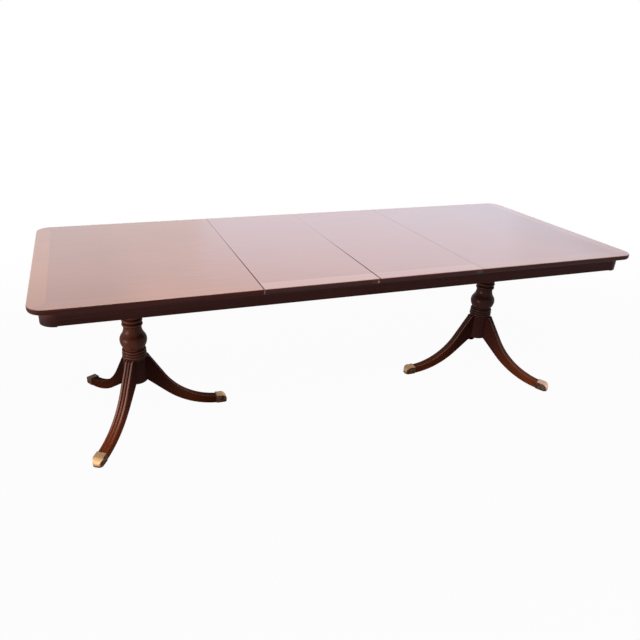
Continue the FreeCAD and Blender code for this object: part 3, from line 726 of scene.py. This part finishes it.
screwSteel = screwFinish()
modelHead = makeScrewHead()
for name, body in lockScrews["bodies"].items():
    low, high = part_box(name)
    inset = lockScrews["inset"]
    plateFace = high[2] - lockScrews["plateThick"]  # the plate's lower face
    height = plateFace - lockScrews["proud"] + lockScrews["depth"] / 2
    corners = [(x, y, height) for y in (low[1] + inset, high[1] - inset)
               for x in (low[0] + inset, high[0] - inset)]
    heads = [copyHead(modelHead, place, turn) for place, turn in zip(corners, lockScrews["turns"])]
    bpy.ops.object.select_all(action="DESELECT")
    for copy in heads:
        copy.select_set(True)
    bpy.context.view_layer.objects.active = heads[0]
    bpy.ops.object.join()
    screws = bpy.context.object
    screws.name = name + "_screws"
    bpy.ops.object.transform_apply(location=True, rotation=True, scale=True)
    bpy.ops.object.shade_smooth_by_angle(angle=math.radians(lockScrews["smoothAngle"]))
    screws.data.materials.clear()
    screws.data.materials.append(screwSteel)
    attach(screws, body)
bpy.data.objects.remove(modelHead)
bpy.ops.object.select_all(action="DESELECT")
print("lock screws set")


# floor, world and lamps

studio = {
    "floorSize": 60.0, "floorDrop": 0.0002, "floorColour": (0.3, 0.3, 0.3, 1), "floorRough": 0.9,
    "nearGlow": 0.965, "glowStart": 1.0, "glowEnd": 3.0, "glowLong": 0.4,  # an oval along the table
    "ambient": (0.13, 0.13, 0.135, 1), "white": (1.0, 1.0, 1.0, 1),
    "lamps": {  # the low lamps stay below the top, which would mirror them
        "frontLamp": {"place": (-0.7, -2.9, 3.9), "aim": (-0.1, 0, 0.5), "size": (1.6, 1.6), "power": 140,
                      "colour": (1.0, 0.95, 0.88)},
        "overLamp": {"place": (-0.8, 0.4, 4.2), "aim": (-0.4, 0, 0), "size": (4.0, 3.0), "power": 64,
                     "colour": (1.0, 0.98, 0.95)},
        "leftLamp": {"place": (-4.2, -1.0, 0.37), "aim": (-0.85, 0, 0.36), "size": (2.0, 0.68), "power": 90,
                     "colour": (1.0, 0.85, 0.78)},
        "rearLamp": {"place": (0.6, 4.2, 0.37), "aim": (0, 0, 0.36), "size": (4.0, 0.68), "power": 26,
                     "colour": (1.0, 0.94, 0.88)},
        "rightLamp": {"place": (4.6, -0.4, 0.37), "aim": (0.85, 0, 0.36), "size": (2.0, 0.68), "power": 10,
                      "colour": (1.0, 0.94, 0.88)},
        "hazeLamp": {"place": (0.65, 4.1, 1.95), "aim": (0.2, 0, 0.75), "size": (7.3, 1.8), "power": 8,
                     "colour": (0.68, 0.77, 0.98)},
        "coolLamp": {"place": (3.1, 3.9, 1.95), "aim": (0.3, 0, 0.75), "size": (6.2, 1.8), "power": 13,
                     "colour": (0.45, 0.58, 1.0)},
    },
}


def seenRays(w):  # 1 for camera, glossy and transmitted rays
    light = w.node("ShaderNodeLightPath").socket.node.outputs
    seen = [Wire(w.tree, light[name]) for name in ("Is Camera Ray", "Is Glossy Ray", "Is Transmission Ray")]
    return larger(w, larger(w, seen[0], seen[1]), seen[2])


def makeFloor():
    bpy.ops.mesh.primitive_plane_add(size=studio["floorSize"], location=(0, 0, -studio["floorDrop"]))
    floor = bpy.context.object
    floor.name = "paleFloor"
    material, w = newFinish("paleFloor")
    setShader(material, {"Base Color": studio["floorColour"], "Roughness": studio["floorRough"],
                         "Specular IOR Level": 0.0})
    x, y = objectPlace(w)[:2]
    away = w.maths("SQRT", x * x * studio["glowLong"] + y * y)
    rise = ease(w, away, studio["glowStart"], studio["glowEnd"])  # the glow takes over away from the table
    strength = studio["nearGlow"] + (1 - studio["nearGlow"]) * rise
    tree = material.node_tree
    glow = w.node("ShaderNodeEmission", {}, {"Color": studio["white"], "Strength": 1.0})
    shaded = Wire(tree, tree.nodes["Principled BSDF"].outputs[0])
    blend = w.node("ShaderNodeMixShader", {}, {0: seenRays(w) * strength, 1: shaded, 2: glow})
    plug(tree, tree.nodes["Material Output"].inputs["Surface"], blend)
    floor.data.materials.append(material)


def makeWorld():
    world = bpy.data.worlds.new("whiteStudio")
    world.use_nodes = True
    bpy.context.scene.world = world
    w = Wire(world.node_tree)
    colour = mixed(w, seenRays(w), studio["ambient"], studio["white"])
    plug(world.node_tree, world.node_tree.nodes["Background"].inputs["Color"], colour)


def makeLamps():
    for name, look in studio["lamps"].items():
        bpy.ops.object.light_add(type="AREA", location=look["place"])
        lamp = bpy.context.object
        lamp.name = name
        lamp.data.shape = "RECTANGLE"
        lamp.data.size, lamp.data.size_y = look["size"]
        lamp.data.energy = look["power"]
        lamp.data.color = look["colour"]
        aim = Vector(look["aim"]) - Vector(look["place"])
        lamp.rotation_euler = aim.to_track_quat("-Z", "Y").to_euler()


view = {
    "place": (-1.03809, -2.33258, 1.51036), "turn": (65.118, -1.588, -18.069),
    "lens": 32.954, "sensor": 36.0, "shift": (0.0696, 0.0062),
}


def makeCamera():
    bpy.ops.object.camera_add(location=view["place"])
    camera = bpy.context.object
    camera.rotation_euler = [math.radians(angle) for angle in view["turn"]]
    camera.data.lens = view["lens"]
    camera.data.sensor_width = view["sensor"]
    camera.data.shift_x, camera.data.shift_y = view["shift"]
    bpy.context.scene.camera = camera


makeFloor()
makeWorld()
makeLamps()
makeCamera()
bpy.context.scene.view_settings.view_transform = "Standard"
print("studio ready")
